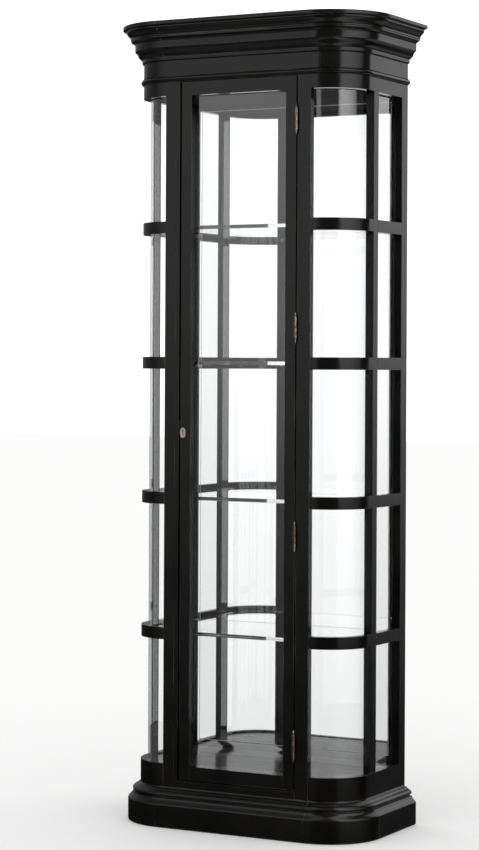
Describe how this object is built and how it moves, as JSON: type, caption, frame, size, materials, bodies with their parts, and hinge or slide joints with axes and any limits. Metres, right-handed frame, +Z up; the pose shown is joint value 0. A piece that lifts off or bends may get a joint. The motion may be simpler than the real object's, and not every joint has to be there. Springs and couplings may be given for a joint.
{
  "type": "glazed display cabinet",
  "caption": "Tall floor-standing display cabinet with round glazed front corners, glass shelves, a mirror back and one hinged, locking glass door.",
  "frame": {"origin": "middle of the footprint on the floor, halfway between the front of the cornice and the back", "axes": "+Z up, +Y from the door towards the back, +X to the right seen from the front"},
  "size_m": [0.804, 0.4136, 2.2],
  "materials": {
    "black_paint": "satin black paint over wood, rubbed through a little at the edges",
    "floor_varnish": "gloss black stained boards",
    "back_board": "dull black painted board",
    "pane_glass": "clear float glass",
    "shelf_glass": "clear glass with polished edges",
    "mirror_silvering": "silvered glass with a bevelled edge",
    "hinge_bronze": "dark aged bronze",
    "lock_brass": "plain brass",
    "keyhole_brass": "aged coppery brass",
    "pin_steel": "bright steel"
  },
  "bodies": {
    "carcass": {"plinth_front": "black_paint", "plinth_corners": "black_paint", "plinth_sides": "black_paint", "plinth_back": "black_paint", "base_moulding_front": "black_paint", "base_moulding_corners": "black_paint", "base_moulding_sides": "black_paint", "floor_boards": "floor_varnish", "bottom_rail_front": "black_paint", "bottom_rail_corners": "black_paint", "bottom_rail_sides": "black_paint", "front_stile_left": "black_paint", "front_stile_right": "black_paint", "strike_batten": "black_paint", "side_post_left": "black_paint", "side_post_right": "black_paint", "rear_post_left": "black_paint", "rear_post_right": "black_paint", "corner_rails_left": "black_paint", "corner_rails_right": "black_paint", "side_rails_left": "black_paint", "side_rails_right": "black_paint", "frieze_front": "black_paint", "frieze_corners": "black_paint", "frieze_sides": "black_paint", "neck_moulding": "black_paint", "cornice_front": "black_paint", "cornice_corners": "black_paint", "cornice_sides": "black_paint", "top_panel": "black_paint", "ceiling_panel": "black_paint", "back_panel": "back_board", "mirror_plate": "mirror_silvering", "corner_glass_left": "pane_glass", "corner_glass_right": "pane_glass", "side_glass_left": "pane_glass", "side_glass_right": "pane_glass", "glazing_beads": "black_paint", "shelf_1": "shelf_glass", "shelf_2": "shelf_glass", "shelf_3": "shelf_glass", "shelf_4": "shelf_glass", "shelf_pins": "pin_steel", "hinge_leaves_frame": "hinge_bronze", "hinge_pins": "hinge_bronze", "hinge_screws_frame": "hinge_bronze", "strike_plate": "lock_brass"},
    "door": {"door_stile_lock": "black_paint", "door_stile_hinge": "black_paint", "door_rail_top": "black_paint", "door_rail_bottom": "black_paint", "door_glass": "pane_glass", "door_beads": "black_paint", "hinge_leaves_door": "hinge_bronze", "hinge_screws_door": "hinge_bronze", "lock_case": "lock_brass", "keyhole_plate": "keyhole_brass"},
    "bolt": {"lock_bolt": "lock_brass"}
  },
  "joints": [
    {"name": "door_hinge", "type": "hinge", "parent": "carcass", "child": "door", "pos_m": [0.1813, -0.15325, 1.08325], "axis": [0, 0, 1], "range_deg": [0, 110]},
    {"name": "lock_bolt_slide", "type": "slide", "parent": "door", "child": "bolt", "axis": [-1, 0, 0], "range_m": [0, 0.012]}
  ]
}
